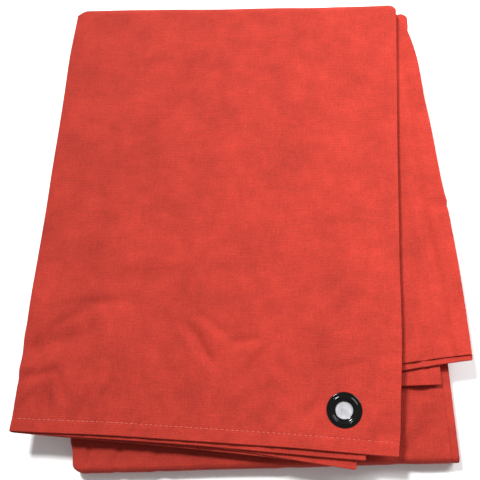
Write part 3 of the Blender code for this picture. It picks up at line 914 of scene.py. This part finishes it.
def ring_piece(name, knots, layer_number, index, material):
    """A ring turned from a profile of (radius, height) in mm, through the cloth of one layer."""
    centre, axis = eyelet_frame(index)
    layer = layers[layer_number]
    profile = rounded_profile(knots) * MM
    turn = Vector((0, 0, 1)).rotation_difference(Vector(axis)).to_matrix()
    cloth = Vector((centre[0], centre[1], cloth_height(layer, centre)))
    points = []
    for k in range(ROUND):
        angle = 2 * math.pi * k / ROUND
        for radius, height in profile:
            local = Vector((radius * math.cos(angle), radius * math.sin(angle), height))
            points.append(tuple(turn @ local + cloth))
    count = len(profile)
    faces = []
    for k in range(ROUND):
        here, after = k * count, ((k + 1) % ROUND) * count
        for n in range(count):
            following = (n + 1) % count
            faces.append((here + n, here + following, after + following, after + n))
    mesh = bpy.data.meshes.new(name)
    mesh.from_pydata(points, [], faces)
    mesh.materials.append(material)
    mesh.shade_smooth()
    made = bpy.data.objects.new(name, mesh)
    bpy.context.scene.collection.objects.link(made)
    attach(made, "upper_half")
    return made


ENAMEL = enamel_material()
for number, index in EYELETS.items():
    eyelet = ring_piece(f"eyelet_ring_{index}", EYELET, number, index, ENAMEL)
    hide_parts(f"eyelet_{index}")
    washer = ring_piece(f"washer_ring_{index}", WASHER, number, index, ENAMEL)
    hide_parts(f"eyelet_washer_{index}")

# ------------------------------------------------------------------------------------------------
# Label. A blank piece of white woven polyester tape, cut to length. It lies on the second layer, and
# shows through the hole of the cover's eyelet.
# ------------------------------------------------------------------------------------------------
RIBS_APART = 0.9 * MM  # twice as far as on a fine tape, so that they show


def tape_material():
    """Bleached polyester tape: fine ribs across it, a soft shine, slightly grey where it's handled."""
    made, tree = blank_material("white_woven_tape")
    place = node(tree, "ShaderNodeTexCoord").outputs["Object"]
    ribs = node(
        tree, "ShaderNodeTexWave", {"bands_direction": "Y"}, Vector=place, Scale=WAVE_BAND / RIBS_APART,
        Distortion=0.6,
    )
    soil = node(tree, "ShaderNodeTexNoise", Vector=place, Scale=210.0, Detail=4.0, Roughness=0.6)
    tone = node(tree, "ShaderNodeValToRGB", Fac=soil.outputs["Fac"])
    tone.color_ramp.elements[0].position = 0.3
    tone.color_ramp.elements[0].color = linear("#8E8E93")
    tone.color_ramp.elements[1].position = 0.7
    tone.color_ramp.elements[1].color = linear("#B4B4B8")
    bump = node(tree, "ShaderNodeBump", Strength=0.5, Distance=0.06 * MM, Height=ribs.outputs["Fac"])
    shader = node(
        tree, "ShaderNodeBsdfPrincipled", Base_Color=tone.outputs["Color"], Roughness=0.6, IOR=1.5,
        Sheen_Weight=0.2, Normal=bump.outputs["Normal"],
    )
    node(tree, "ShaderNodeOutputMaterial", Surface=shader.outputs["BSDF"])
    return made


low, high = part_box("blank_label")
x = np.linspace(low.x, high.x, 21)
y = np.linspace(high.y, low.y, 37)
x, y = np.meshgrid(x, y)
z = layers[2].height + sag(2, x, y) + relief(2, x, y) + CANVAS / 2 + 0.22 * MM  # just on the cloth
z = z + 0.1 * MM * soft_noise(x, y, 9 * MM, 21)
tape_grid = np.stack([x, y, z], 2)
label = cloth_piece("blank_tape_label", tape_grid)
label.data.materials.clear()
label.data.materials.append(tape_material())
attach(label, "upper_half")
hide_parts("blank_label")

# ------------------------------------------------------------------------------------------------
# Stage: a white table top, one soft main light from behind the far end, a weaker wide one on the
# right, and even light from the room.
# ------------------------------------------------------------------------------------------------
EYE = Vector((0.0642, -0.1769, 0.5425))
LOOK = Vector((-0.1255, 0.2891, -0.949))
UP = Vector((-0.0272, 0.9553, 0.2945))
LENS_MM = 48.81

table_material, tree = blank_material("white_laminate")
grain = node(tree, "ShaderNodeTexNoise", Scale=40.0, Detail=3.0)
tint = node(tree, "ShaderNodeValToRGB", Fac=grain.outputs["Fac"])
tint.color_ramp.elements[0].color = linear("#F6F6F6")
tint.color_ramp.elements[1].color = linear("#FCFCFC")
shader = node(tree, "ShaderNodeBsdfPrincipled", Base_Color=tint.outputs["Color"], Roughness=0.7)
node(tree, "ShaderNodeOutputMaterial", Surface=shader.outputs["BSDF"])
table = bpy.data.meshes.new("table_top")
table.from_pydata([(-3, -3, 0), (3, -3, 0), (3, 3, 0), (-3, 3, 0)], [], [(0, 1, 2, 3)])
table.materials.append(table_material)
table_top = bpy.data.objects.new("table_top", table)
bpy.context.scene.collection.objects.link(table_top)


def area_light(name, place, size, watts):
    """A round white soft light that shines at the middle of the blanket."""
    lamp = bpy.data.lights.new(name, "AREA")
    lamp.shape = "DISK"
    lamp.size = size
    lamp.energy = watts
    made = bpy.data.objects.new(name, lamp)
    made.location = place
    made.rotation_euler = Vector(place).to_track_quat("Z", "Y").to_euler()
    bpy.context.scene.collection.objects.link(made)


area_light("far_left_light", (-0.8, 1.3, 2.2), 0.5, 92)
area_light("right_light", (0.62, 0.32, 0.5), 0.45, 6.0)

world = bpy.data.worlds.new("room")
bpy.context.scene.world = world
world.use_nodes = True
world.node_tree.nodes["Background"].inputs["Color"].default_value = linear("#FFFFFF")
world.node_tree.nodes["Background"].inputs["Strength"].default_value = 0.36

camera = bpy.data.objects.new("camera", bpy.data.cameras.new("camera"))
camera.data.lens = LENS_MM
camera.data.sensor_width = 36
side = LOOK.cross(UP).normalized()
up = side.cross(LOOK).normalized()
axes = Matrix((side, up, -LOOK.normalized())).transposed()
camera.matrix_world = Matrix.Translation(EYE) @ axes.to_4x4()
camera.data.clip_start = 0.01
bpy.context.scene.collection.objects.link(camera)
bpy.context.scene.camera = camera
bpy.context.scene.view_settings.view_transform = "Standard"
